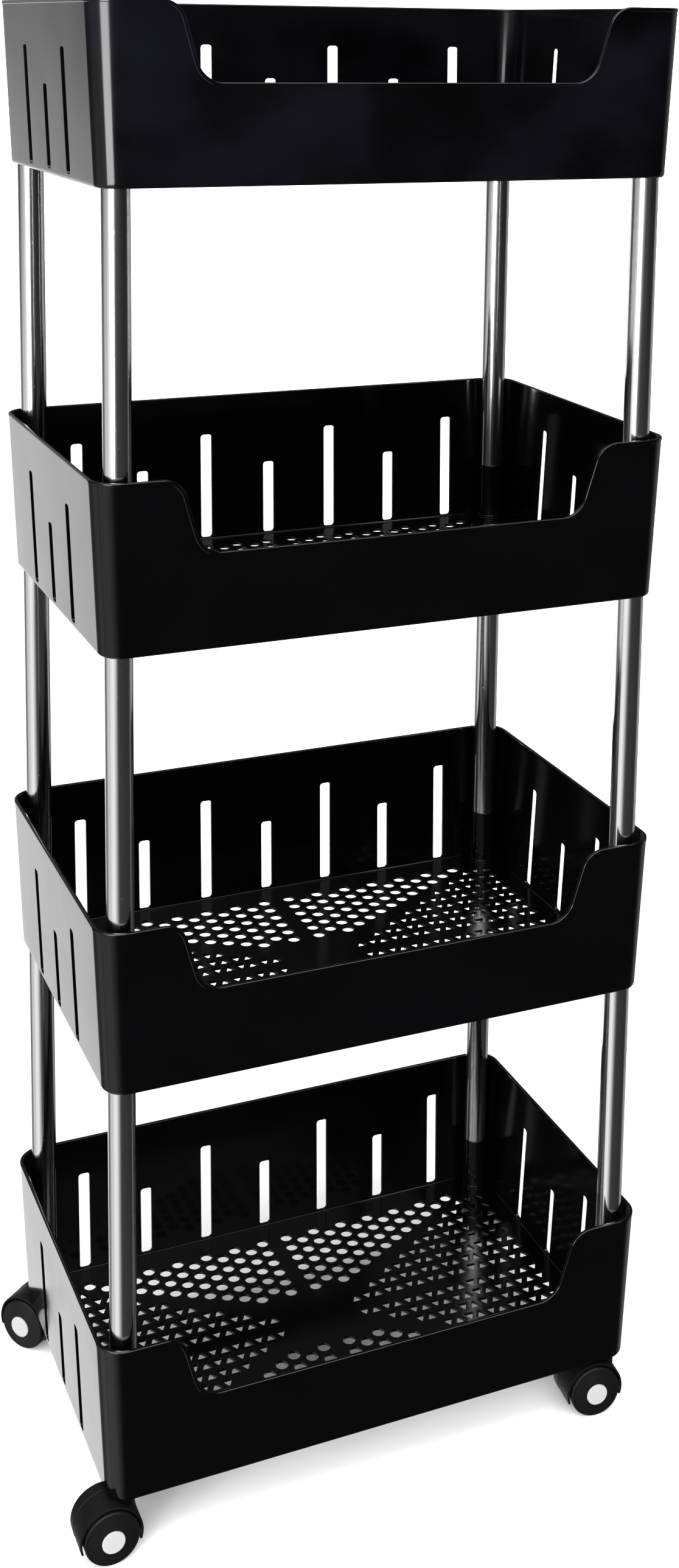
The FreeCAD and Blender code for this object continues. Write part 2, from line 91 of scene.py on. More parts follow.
# slots in the back and side walls
SLOT_WIDTH = 8.5 * MM
SLOT_RADIUS = 2.3 * MM
SLOT_LOW = 4.05 * MM
SLOT_LONG = 82.0 * MM
SLOT_SHORT = 58.0 * MM
BACK_PITCH = 49.3 * MM
SIDE_PITCH = 48.8 * MM
BACK_SLOTS = 7
SIDE_SLOTS = 3

# low front edge and the rim that runs round the top
DIP_HEIGHT = 62.5 * MM
DIP_X = 119.0 * MM
DIP_RADIUS = 17.0 * MM
EAR_X = 158.0 * MM
EAR_RADIUS = 16.0 * MM
LIP_PROUD = 0.35 * MM
LIP_HEIGHT = 2.7 * MM
LIP_ROUND = 0.9 * MM
LIP_PROUD_INSIDE = 0.05 * MM

# holes in the tray floor
ROUND_RADIUS = 4.4 * MM
ROUND_FIRST = (10.0 * MM, 33.5 * MM)
ROUND_PITCH = (11.7 * MM, 12.7 * MM)
ROUND_COLUMNS = 13
ROUND_ROWS = 6
TRI_WIDTH = 7.8 * MM
TRI_DEPTH = 7.0 * MM
TRI_FIRST = (33.5 * MM, 8.4 * MM)
TRI_PITCH = (8.9 * MM, 11.5 * MM)
TRI_COLUMNS = 17
TRI_ROWS = 8
TRI_ROUND = 0.5 * MM

# corner posts and tubes
POST_TOP = 45.0 * MM
POST_RADIUS = 9.2 * MM
COLLAR_RADIUS = 9.8 * MM
COLLAR_TOP = 5.0 * MM
SEAT_RADIUS = 10.2 * MM
SEAT_HEIGHT = 0.4 * MM
SEAT_ROUND = 0.15 * MM
TENON_RADIUS = 7.9 * MM
TENON_LENGTH = 26.0 * MM
SOCKET_RADIUS = 5.5 * MM
SOCKET_DEPTH = 36.0 * MM
POST_ROUND = 0.4 * MM
TOP_BEVEL = 2.0 * MM
TUBE_WALL = 1.0 * MM
TUBE_ROUND = 0.3 * MM

# casters
TRAIL = 12.0 * MM
AXLE_HEIGHT = 18.75 * MM
HOOD_RADIUS = 21.5 * MM
WELL_RADIUS = 20.0 * MM
HOOD_HALF = 13.2 * MM
WEB_HALF = 5.2 * MM
WEB_SINK = 0.6 * MM
HOOD_LOWER_EDGE = 12.5 * MM
HOOD_ROUND = 0.5 * MM
WELL_ROUND = 0.2 * MM
SEAM_AT = -5.3 * MM
SEAM_PROUD = 0.25 * MM
SEAM_HALF = 0.40 * MM
SEAM_CREST_HALF = 0.15 * MM
STEM_HOLE = 4.1 * MM
BARREL_RADIUS = 7.0 * MM
BARREL_BOTTOM = 26.0 * MM
BARREL_TOP = 40.6 * MM
FLANGE_RADIUS = BARREL_RADIUS + 0.4 * MM
FLANGE_BOTTOM = BARREL_TOP - 1.2 * MM
FLANGE_FOOT = BARREL_TOP - 1.4 * MM
BARREL_ROUND = 0.35 * MM

# wheels and caps; "out" counts from the middle of the caster
WHEEL_RADIUS = 18.75 * MM
WHEEL_INNER_OUT = 5.7 * MM
WHEEL_OUTER_OUT = 14.75 * MM
BORE_RADIUS = 3.05 * MM
BOSS_RADIUS = 6.5 * MM
HOLLOW_RADIUS = 15.5 * MM
HOLLOW_OUT = 8.7 * MM
HUB_RADIUS = 8.0 * MM
HUB_OUT = 15.2 * MM
DISH_RADIUS = 8.2 * MM
DISH_OUT = 17.0 * MM
WHEEL_ROUND = 0.3 * MM
CAP_RADIUS = 7.85 * MM
CAP_OUT = 17.6 * MM


# ---------------------------------------------------------------- mesh building

def even_normals(obj):
    even = obj.modifiers.new("even_normals", "WEIGHTED_NORMAL")
    even.keep_sharp = True


class Shell:
    """Faces gathered one by one; corners that fall on the same point are shared."""

    GRID = 1e-6

    def __init__(self):
        self.points = []
        self.faces = []
        self.known = {}

    def corner(self, point):
        key = tuple(round(c / self.GRID) for c in point)
        if key not in self.known:
            self.known[key] = len(self.points)
            self.points.append(tuple(point))
        return self.known[key]

    def face(self, *points):
        ring = []
        for point in points:
            index = self.corner(point)
            if index not in ring:
                ring.append(index)
        if len(ring) > 2:
            self.faces.append(ring)

    def strip(self, row, following):
        """Quads between two rows of points."""
        for i in range(len(row) - 1):
            self.face(row[i], row[i + 1], following[i + 1], following[i])

    def rings(self, rows):
        """Quads between closed loops, one after the other."""
        for row, following in zip(rows, rows[1:]):
            self.strip(row + row[:1], following + following[:1])

    def piece(self, name):
        mesh = bpy.data.meshes.new(name)
        mesh.from_pydata(self.points, [], self.faces)
        work = bmesh.new()
        work.from_mesh(mesh)
        bmesh.ops.recalc_face_normals(work, faces=work.faces)
        work.to_mesh(mesh)
        work.free()
        mesh.shade_smooth()
        mesh.set_sharp_from_angle(angle=SHARP_ANGLE)
        obj = bpy.data.objects.new(name, mesh)
        bpy.context.scene.collection.objects.link(obj)
        even_normals(obj)
        return obj


def lerp(low, high, share):
    return low + (high - low) * share


def plate(outline, holes, creases=()):
    """Triangles between an outline and the holes in it, kept to the creases."""
    exact = []
    edges = []
    faces = []
    for loop in [outline] + holes:
        faces.append(list(range(len(exact), len(exact) + len(loop))))
        exact += [tuple(point) for point in loop]
    for crease in creases:
        edges.append((len(exact), len(exact) + 1))
        exact += [tuple(point) for point in crease]
    points = [Vector(point) for point in exact]
    found, _, triangles, sources, _, inside = delaunay_2d_cdt(points, edges, faces, 1, 1e-8)
    corners = [exact[source[0]] if source else tuple(point) for point, source in zip(found, sources)]
    return [[corners[i] for i in triangle]
            for triangle, where in zip(triangles, inside) if list(where) == [0]]


def rounded_box(centre, low, high, width, radius, grow=0.0, steps=5):
    """Upright rounded rectangle, grown outwards on all sides."""
    r = radius + grow
    left = centre - width / 2 - grow + r
    right = centre + width / 2 + grow - r
    bottom = low - grow + r
    top = high + grow - r
    outline = []
    for x, y, start in ((right, bottom, -90), (right, top, 0), (left, top, 90), (left, bottom, 180)):
        for step in range(steps + 1):
            turn = math.radians(start + 90 * step / steps)
            outline.append((x + r * math.cos(turn), y + r * math.sin(turn)))
    return outline


def circle(x, y, radius, steps):
    turns = [2 * math.pi * step / steps for step in range(steps)]
    return [(x + radius * math.cos(turn), y + radius * math.sin(turn)) for turn in turns]


def quarter_turn(steps):
    return [math.pi / 2 * step / steps for step in range(steps + 1)]


def round_hole(x, y, grow):
    return circle(x, y, ROUND_RADIUS + grow, HOLE_STEPS)


def rounded_triangle(x, y, tip, grow, steps=3):
    """Triangle with its point at +Y (tip 1) or -Y (tip -1), its corners rounded."""
    half = TRI_WIDTH / 2
    corners = [Vector((-half, -TRI_DEPTH / 2)), Vector((half, -TRI_DEPTH / 2)), Vector((0, TRI_DEPTH / 2))]
    outline = []
    for i, here in enumerate(corners):
        before = (corners[i - 1] - here).normalized()
        after = (corners[(i + 1) % 3] - here).normalized()
        half_angle = before.angle(after) / 2
        centre = here + (before + after).normalized() * (TRI_ROUND / math.sin(half_angle))
        swing = math.pi - 2 * half_angle
        start = math.atan2(before.x, -before.y)
        for step in range(steps + 1):
            turn = start + swing * step / steps
            outline.append(centre + Vector((math.cos(turn), math.sin(turn))) * (TRI_ROUND + grow))
    return [(x + p.x * tip, y + p.y * tip) for p in outline]


def edge_rounding(thickness, steps=2):
    """(growth, depth) of the loops through a hole whose two edges are rounded."""
    near = [(EDGE_ROUND * (1 - math.sin(turn)), EDGE_ROUND * (1 - math.cos(turn)))
            for turn in quarter_turn(steps)]
    far = [(grow, thickness - depth) for grow, depth in reversed(near)]
    return near + far


# ---------------------------------------------------------------- tray

STRAIGHT_X = TOP_HALF_X - TOP_RADIUS
STRAIGHT_Y = TOP_HALF_Y - TOP_RADIUS
ARC = TOP_RADIUS * math.pi / 2
HALF_ROUND = 2 * STRAIGHT_X + 2 * ARC + 2 * STRAIGHT_Y
SLOT_REACH = 0.86


def slide(along, straight_top, straight_now):
    """Keeps the slotted stretch of a wall upright, and lets its ends follow the draft."""
    kept = straight_top * SLOT_REACH
    if abs(along) <= kept:
        return along
    spare = (abs(along) - kept) * (straight_now - kept) / (straight_top - kept)
    return math.copysign(kept + spare, along)


def wall_point(u, v, out):
    """Point of the wall: u round the tray from the middle of its front, v up, out from the face."""
    share = v / TRAY_HEIGHT
    half_x = lerp(FOOT_HALF_X, TOP_HALF_X, share)
    half_y = lerp(FOOT_HALF_Y, TOP_HALF_Y, share)
    radius = lerp(FOOT_RADIUS, TOP_RADIUS, share)
    straight_x = half_x - radius
    straight_y = half_y - radius
    s = u % (2 * HALF_ROUND)
    side = 1
    if s > HALF_ROUND:
        s = 2 * HALF_ROUND - s
        side = -1
    if s <= STRAIGHT_X:
        x = slide(s, STRAIGHT_X, straight_x)
        y = -half_y - out
    elif s <= STRAIGHT_X + ARC:
        turn = (s - STRAIGHT_X) / TOP_RADIUS
        x = straight_x + (radius + out) * math.sin(turn)
        y = -straight_y - (radius + out) * math.cos(turn)
    elif s <= STRAIGHT_X + ARC + 2 * STRAIGHT_Y:
        x = half_x + out
        y = slide(s - STRAIGHT_X - ARC - STRAIGHT_Y, STRAIGHT_Y, straight_y)
    elif s <= HALF_ROUND - STRAIGHT_X:
        turn = (s - STRAIGHT_X - ARC - 2 * STRAIGHT_Y) / TOP_RADIUS
        x = straight_x + (radius + out) * math.cos(turn)
        y = straight_y + (radius + out) * math.sin(turn)
    else:
        x = slide(HALF_ROUND - s, STRAIGHT_X, straight_x)
        y = half_y + out
    return (side * x, y, v)


def spread(start, end, steps):
    return [lerp(start, end, step / steps) for step in range(steps + 1)]


def stations():
    """Places round the tray where its mesh has an upright line, once round."""
    half = spread(0, STRAIGHT_X, STRAIGHT_STEPS)
    for length, steps in ((ARC, CORNER_STEPS), (2 * STRAIGHT_Y, STRAIGHT_STEPS),
                          (ARC, CORNER_STEPS), (STRAIGHT_X, STRAIGHT_STEPS)):
        half += spread(half[-1], half[-1] + length, steps)[1:]
    half[-1] = HALF_ROUND
    return half + [2 * HALF_ROUND - u for u in reversed(half[:-1])]


def rim_path():
    """Top edge of the wall as (u, v, slope), from the middle of the front once round."""
    low = Vector((DIP_X, DIP_HEIGHT + DIP_RADIUS))
    high = Vector((EAR_X, TRAY_HEIGHT - EAR_RADIUS))
    between = high - low
    steepest = math.atan2(between.y, between.x)
    steepest += math.asin((DIP_RADIUS + EAR_RADIUS) / between.length)
    path = [(u, DIP_HEIGHT, 0.0) for u in spread(0, DIP_X, STRAIGHT_STEPS)]
    slopes = spread(0, steepest, CORNER_STEPS)
    for slope in slopes[1:]:
        path.append((low.x + DIP_RADIUS * math.sin(slope), low.y - DIP_RADIUS * math.cos(slope), slope))
    for slope in reversed(slopes):
        path.append((high.x - EAR_RADIUS * math.sin(slope), high.y + EAR_RADIUS * math.cos(slope), slope))
    path += [(u, TRAY_HEIGHT, 0.0) for u in stations() if STRAIGHT_X - 1e-6 < u <= HALF_ROUND]
    return path + [(2 * HALF_ROUND - u, v, -slope) for u, v, slope in reversed(path[:-1])]


def beside_rim(height, out):
    """Loop of wall points that follows the rim, measured up from it and out from the wall."""
    return [wall_point(u - height * math.sin(slope), v + height * math.cos(slope), out)
            for u, v, slope in rim_path()[:-1]]


def slots():
    """(place round the tray, top) of every slot; long and short take turns."""
    found = []
    for index in range(BACK_SLOTS):
        top = SLOT_SHORT if index % 2 else SLOT_LONG
        found.append((HALF_ROUND + (index - (BACK_SLOTS - 1) / 2) * BACK_PITCH, top))
    for middle in (STRAIGHT_X + ARC + STRAIGHT_Y, 2 * HALF_ROUND - STRAIGHT_X - ARC - STRAIGHT_Y):
        for index in range(SIDE_SLOTS):
            top = SLOT_SHORT if index % 2 else SLOT_LONG
            found.append((middle + (index - (SIDE_SLOTS - 1) / 2) * SIDE_PITCH, top))
    return found


def add_wall(shell):
    """The slotted wall, cut out flat and bent round the tray."""
    low = FLOOR_TOP + FILLET
    tuck = LIP_HEIGHT / 2
    top = [(u + tuck * math.sin(slope), v - tuck * math.cos(slope)) for u, v, slope in rim_path()]
    outline = [(u, low) for u in stations()] + list(reversed(top))
    creases = [((u, low), (u, TRAY_HEIGHT - tuck)) for u in stations()
               if STRAIGHT_X - 1e-6 < u < 2 * HALF_ROUND - STRAIGHT_X + 1e-6
               and all(abs(u - middle) > SLOT_WIDTH for middle, _ in slots())]
    holes = [rounded_box(u, SLOT_LOW, high, SLOT_WIDTH, SLOT_RADIUS, EDGE_ROUND) for u, high in slots()]
    for triangle in plate(outline, holes, creases):
        for out in (0.0, -WALL):
            shell.face(*[wall_point(u, v, out) for u, v in triangle])
    shell.strip([wall_point(u, v, 0.0) for u, v in top], [wall_point(u, v, -WALL) for u, v in top])
    for u, high in slots():
        shell.rings([[wall_point(x, y, -depth) for x, y in
                      rounded_box(u, SLOT_LOW, high, SLOT_WIDTH, SLOT_RADIUS, grow)]
                     for grow, depth in edge_rounding(WALL)])


def foot_profile():
    """(out, up) from the foot of the wall's outer face, under the foot ring, to the floor's underside."""
    edge = [(FOOT_EDGE * (math.cos(turn) - 1), FOOT_EDGE * (1 - math.sin(turn)))
            for turn in quarter_turn(FOOT_STEPS)]
    ring = [(-FOOT_RING, 0.0), (-FOOT_RING - 0.1 * MM, FLOOR_UNDER)]
    return [(0.0, FLOOR_TOP + FILLET)] + edge + ring


def fillet_profile():
    """(out, up) from the foot of the wall's inner face to the top of the floor."""
    return [(-WALL - FILLET * (1 - math.cos(turn)), FLOOR_TOP + FILLET * (1 - math.sin(turn)))
            for turn in quarter_turn(ROUND_STEPS)]


def floor_edge():
    return [wall_point(u, FLOOR_TOP, -FLOOR_EDGE)[:2] for u in stations()]


def add_foot(shell):
    for profile, level in ((foot_profile(), FLOOR_UNDER), (fillet_profile(), FLOOR_TOP)):
        rows = [[wall_point(u, up, out) for u in stations()] for out, up in profile]
        rows.append([(x, y, level) for x, y in floor_edge()])
        for row, following in zip(rows, rows[1:]):
            shell.strip(row, following)


def round_holes():
    """Centres of the round holes in one quarter: staggered columns that fill a triangle."""
    centres = []
    first_x, first_y = ROUND_FIRST
    pitch_x, pitch_y = ROUND_PITCH
    slack = 0.5 * MM
    slope = pitch_y / 2 / pitch_x
    farthest = first_y + (ROUND_ROWS - 0.9) * pitch_y
    for column in range(ROUND_COLUMNS):
        x = first_x + column * pitch_x
        nearest = first_y + max(0.0, x - first_x - 2 * pitch_x) * slope - slack
        for row in range(ROUND_ROWS):
            y = first_y + (row + column % 2 / 2) * pitch_y
            if nearest < y < farthest:
                centres.append((x, y))
    return centres


def triangle_holes():
    """(x, y, pointing) of the triangles in one quarter: rows of alternating triangles."""
    return [(TRI_FIRST[0] + column * TRI_PITCH[0], TRI_FIRST[1] + row * TRI_PITCH[1], 1 - column % 2 * 2)
            for row in range(TRI_ROWS) for column in range(2 * row, TRI_COLUMNS)]


def add_floor(shell):
    """The perforated floor, its hole edges rounded."""
    shapes = []
    for side_x in (1, -1):
        for side_y in (1, -1):
            shapes += [partial(round_hole, side_x * x, side_y * y) for x, y in round_holes()]
            shapes += [partial(rounded_triangle, side_x * x, side_y * y, side_y * tip)
                       for x, y, tip in triangle_holes()]
    thickness = FLOOR_TOP - FLOOR_UNDER
    for triangle in plate(floor_edge()[:-1], [shape(EDGE_ROUND) for shape in shapes]):
        for level in (FLOOR_TOP, FLOOR_UNDER):
            shell.face(*[(x, y, level) for x, y in triangle])
    for shape in shapes:
        shell.rings([[(x, y, FLOOR_TOP - depth) for x, y in shape(grow)]
                     for grow, depth in edge_rounding(thickness)])


def lip_profile():
    """(up from the rim, out from the wall) round the section of the rim's thickened lip."""
    outside = LIP_PROUD
    inside = -WALL - LIP_PROUD_INSIDE
    inner_edge = [(-LIP_ROUND * (1 - math.sin(turn)), inside + LIP_ROUND * (1 - math.cos(turn)))
                  for turn in quarter_turn(ROUND_STEPS)]
    outer_edge = [(-LIP_ROUND * (1 - math.cos(turn)), outside - LIP_ROUND * (1 - math.sin(turn)))
                  for turn in quarter_turn(ROUND_STEPS)]
    underside = [(-LIP_HEIGHT + LIP_PROUD, outside), (-LIP_HEIGHT - 0.1 * MM, -0.1 * MM),
                 (-LIP_HEIGHT, -WALL / 2)]
    return [(-LIP_HEIGHT, inside)] + inner_edge + outer_edge + underside


def add_lip(shell):
    loops = [beside_rim(height, out) for height, out in lip_profile()]
    shell.rings(loops + loops[:1])


def add_seats(shell):
    """Low round seats for the posts' collars."""
    top = FLOOR_TOP + SEAT_HEIGHT
    foot = FLOOR_TOP - EDGE_ROUND
    profile = [(TENON_RADIUS, foot), (TENON_RADIUS, top), (SEAT_RADIUS - SEAT_ROUND, top),
               (SEAT_RADIUS, top - SEAT_ROUND), (SEAT_RADIUS, foot), (TENON_RADIUS, foot)]
    for corner in CORNERS:
        middle = corner_of(corner)
        shell.rings([[(x, y, height) for x, y in circle(middle.x, middle.y, radius, SEAT_STEPS)]
                     for radius, height in profile])


def corner_of(corner):
    """Middle of a corner's tube, on the floor."""
    low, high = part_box("tube_1_" + corner)
    return Vector(((low.x + high.x) / 2, (low.y + high.y) / 2, 0))


def build_trays(material):
    shell = Shell()
    add_wall(shell)
    add_foot(shell)
    add_floor(shell)
    add_lip(shell)
    add_seats(shell)
    first = shell.piece("tray_shell_1")
    first.data.materials.append(material)
    for tier in range(TIERS):
        tray = first
        if tier:
            tray = bpy.data.objects.new("tray_shell_%d" % (tier + 1), first.data)
            bpy.context.scene.collection.objects.link(tray)
            even_normals(tray)
        tray.location.z = TRAY_BASE + tier * TIER_PITCH
        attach(tray, "frame")
        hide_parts("tray_%d" % (tier + 1))


# ---------------------------------------------------------------- turned pieces

def turned(name, profile, steps):
    """A piece turned about +Z from (radius, height) points; radius 0 closes an end."""
    shell = Shell()
    rows = []
    for radius, height in profile:
        rows.append([(x, y, height) for x, y in circle(0, 0, radius, steps)])
    shell.rings(rows)
    return shell.piece(name)


def rounded(points, radius, steps=3):
    """An open (radius, height) profile whose inner corners are rounded."""
    result = [points[0]]
    for before, here, after in zip(points, points[1:], points[2:]):
        a = Vector(before) - Vector(here)
        b = Vector(after) - Vector(here)
        if a.length < 1e-9 or b.length < 1e-9:
            continue
        reach = min(radius, a.length * 0.45, b.length * 0.45)
        start = Vector(here) + a.normalized() * reach
        end = Vector(here) + b.normalized() * reach
        for step in range(steps + 1):
            t = step / steps
            point = start * (1 - t) ** 2 + Vector(here) * 2 * t * (1 - t) + end * t ** 2
            result.append((point.x, point.y))
    return result + [points[-1]]


def finish_piece(obj, material, body, node):
    obj.data.materials.append(material)
    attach(obj, body)
    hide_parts(node)


def post_profile(tier):
    """Half section of a corner post, heights counted from its tray's underside."""
    seat = FLOOR_TOP + SEAT_HEIGHT
    outside = [(TENON_RADIUS, seat), (COLLAR_RADIUS, seat),
               (COLLAR_RADIUS, COLLAR_TOP), (POST_RADIUS, COLLAR_TOP)]
    top = POST_TOP + TENON_LENGTH
    if tier == 0:
        below = [(0, SOCKET_DEPTH + FLOOR_UNDER), (SOCKET_RADIUS, SOCKET_DEPTH + FLOOR_UNDER),
                 (SOCKET_RADIUS, FLOOR_UNDER), (TENON_RADIUS, FLOOR_UNDER)]
    else:
        below = [(0, FLOOR_UNDER - TENON_LENGTH), (TENON_RADIUS, FLOOR_UNDER - TENON_LENGTH)]
    if tier == TIERS - 1:
        above = [(POST_RADIUS, POST_TOP - TOP_BEVEL), (POST_RADIUS - TOP_BEVEL, POST_TOP), (0, POST_TOP)]
    else:
        above = [(POST_RADIUS, POST_TOP), (TENON_RADIUS, POST_TOP), (TENON_RADIUS, top), (0, top)]
    return rounded(below + outside + above, POST_ROUND)


def build_posts_and_tubes(plastic, chrome):
    for corner in CORNERS:
        foot = corner_of(corner)
        for tier in range(TIERS):
            post = turned("corner_post_%d_%s" % (tier + 1, corner), post_profile(tier), POST_STEPS)
            post.location = foot + Vector((0, 0, TRAY_BASE + tier * TIER_PITCH))
            finish_piece(post, plastic, "frame", "post_%d_%s" % (tier + 1, corner))
            if tier == TIERS - 1:
                continue
            node = "tube_%d_%s" % (tier + 1, corner)
            low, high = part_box(node)
            outer = (high.x - low.x) / 2
            inner = outer - TUBE_WALL
            length = high.z - low.z
            ends = [(inner, 0), (outer, 0), (outer, length), (inner, length), (inner, 0)]
            tube = turned("chrome_" + node, rounded(ends, TUBE_ROUND), WHEEL_STEPS)
            tube.location = foot + Vector((0, 0, low.z))
            finish_piece(tube, chrome, "frame", node)


# ---------------------------------------------------------------- casters

def caster_heading(corner):
    """Unit vector from the stem to the axle, and the places of both on the floor."""
    low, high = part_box("caster_stem_" + corner)
    stem = Vector(((low.x + high.x) / 2, (low.y + high.y) / 2, 0))
    low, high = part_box("caster_axle_" + corner)
    axle = Vector(((low.x + high.x) / 2, (low.y + high.y) / 2, 0))
    return (axle - stem).normalized(), stem, axle


def band_profile():
    """(across, radius) round the section of the hood's band, with its raised seam."""
    lip = HOOD_ROUND
    part = HOOD_ROUND * 0.3
    crest = HOOD_RADIUS + SEAM_PROUD
    outer = [(-HOOD_HALF, HOOD_RADIUS - lip), (-HOOD_HALF + part, HOOD_RADIUS - part),
             (-HOOD_HALF + lip, HOOD_RADIUS)]
    outer += [(SEAM_AT - SEAM_HALF, HOOD_RADIUS), (SEAM_AT - SEAM_CREST_HALF, crest),
              (SEAM_AT + SEAM_CREST_HALF, crest), (SEAM_AT + SEAM_HALF, HOOD_RADIUS)]
    outer += [(HOOD_HALF - lip, HOOD_RADIUS), (HOOD_HALF - part, HOOD_RADIUS - part),
              (HOOD_HALF, HOOD_RADIUS - lip)]
    well = WELL_RADIUS + WELL_ROUND
    return outer + [(HOOD_HALF, well), (HOOD_HALF - WELL_ROUND, WELL_RADIUS),
                    (-HOOD_HALF + WELL_ROUND, WELL_RADIUS), (-HOOD_HALF, well)]


def arc_to_lower_edge(radius, steps):
    """Points on a circle round the axle, down to the hood's lower edge on both sides."""
    below = math.asin((AXLE_HEIGHT - HOOD_LOWER_EDGE) / radius)
    turns = [lerp(-below, math.pi + below, step / steps) for step in range(steps + 1)]
    return [(radius * math.cos(turn), AXLE_HEIGHT + radius * math.sin(turn)) for turn in turns]


def add_band(shell, steps=72):
    """The hood's band over both wheels, cut level at its lower edge."""
    loops = []
    for across, radius in band_profile():
        loops.append([(x + TRAIL, across, z) for x, z in arc_to_lower_edge(radius, steps)])
    for row, following in zip(loops, loops[1:] + loops[:1]):
        shell.strip(row, following)
    for end in (0, -1):
        shell.face(*[row[end] for row in loops])


def add_web(shell, steps=48):
    """The thick web between the wheels."""
    arc = arc_to_lower_edge(WELL_RADIUS + WEB_SINK, steps)
    near = [(x + TRAIL, -WEB_HALF, z) for x, z in arc]
    far = [(x + TRAIL, WEB_HALF, z) for x, z in arc]
    shell.strip(near, far)
    shell.face(near[0], near[-1], far[-1], far[0])
    shell.face(*near)
    shell.face(*reversed(far))


def add_barrel(shell, steps=48):
    """The barrel round the stem, with a small flange at its top."""
    profile = rounded([(STEM_HOLE, BARREL_BOTTOM), (BARREL_RADIUS, BARREL_BOTTOM),
                       (BARREL_RADIUS, FLANGE_FOOT), (FLANGE_RADIUS, FLANGE_BOTTOM),
                       (FLANGE_RADIUS, BARREL_TOP), (STEM_HOLE, BARREL_TOP),
                       (STEM_HOLE, BARREL_BOTTOM)], BARREL_ROUND)
    rows = []
    for radius, height in profile:
        rows.append([(x, y, height) for x, y in circle(0, 0, radius, steps)])
    shell.rings(rows)


def wheel_profile():
    """(radius, out) round the half section of a wheel: bore, hollow inner side, tread, dished face."""
    inner_side = [(BORE_RADIUS, HUB_OUT), (BORE_RADIUS, WHEEL_INNER_OUT), (BOSS_RADIUS, WHEEL_INNER_OUT),
                  (BOSS_RADIUS, HOLLOW_OUT), (HOLLOW_RADIUS, HOLLOW_OUT), (HOLLOW_RADIUS, WHEEL_INNER_OUT)]
    rim = WHEEL_RADIUS
    side = WHEEL_OUTER_OUT
    tread = [(rim - 0.85 * MM, WHEEL_INNER_OUT), (rim, WHEEL_INNER_OUT + 0.9 * MM),
             (rim, side - 1.15 * MM), (rim - 0.65 * MM, side - 0.05 * MM)]
    face = [(rim - 1.45 * MM, side), (rim - 1.75 * MM, side - 0.15 * MM),
            (DISH_RADIUS, DISH_OUT), (HUB_RADIUS, HUB_OUT), (BORE_RADIUS, HUB_OUT)]
    return rounded(inner_side + tread + face, WHEEL_ROUND)


def cap_profile():
    """(radius, out) of a hub cap: a slightly crowned disc with a bevelled edge."""
    return rounded([(0, HUB_OUT), (CAP_RADIUS, HUB_OUT), (CAP_RADIUS, CAP_OUT - 0.5 * MM),
                    (CAP_RADIUS - 0.35 * MM, CAP_OUT - 0.1 * MM), (0, CAP_OUT)], WHEEL_ROUND)


def build_casters(hood_plastic, wheel_plastic, cap_plastic):
    for corner in CORNERS:
        heading, stem, axle = caster_heading(corner)
        turn = Matrix.Rotation(math.atan2(heading.y, heading.x), 4, "Z")
        shell = Shell()
        add_band(shell)
        add_web(shell)
        add_barrel(shell)
        hood = shell.piece("hood_" + corner)
        hood.matrix_world = Matrix.Translation(stem) @ turn
        finish_piece(hood, hood_plastic, "caster_" + corner, "caster_hood_" + corner)
        for number in (1, 2):
            body = "wheel_%s_%d" % (corner, number)
            outwards = Matrix.Rotation(math.pi / 2 if number == 2 else -math.pi / 2, 4, "X")
            place = Matrix.Translation(axle + Vector((0, 0, AXLE_HEIGHT))) @ turn @ outwards
            which = "%s_%d" % (corner, number)
            wheel = turned("tread_" + which, wheel_profile(), WHEEL_STEPS)
            wheel.matrix_world = place
            finish_piece(wheel, wheel_plastic, body, "caster_wheel_" + which)
            cap = turned("hub_cap_" + which, cap_profile(), POST_STEPS)
            cap.matrix_world = place
            finish_piece(cap, cap_plastic, body, "caster_cap_" + which)


# ---------------------------------------------------------------- materials

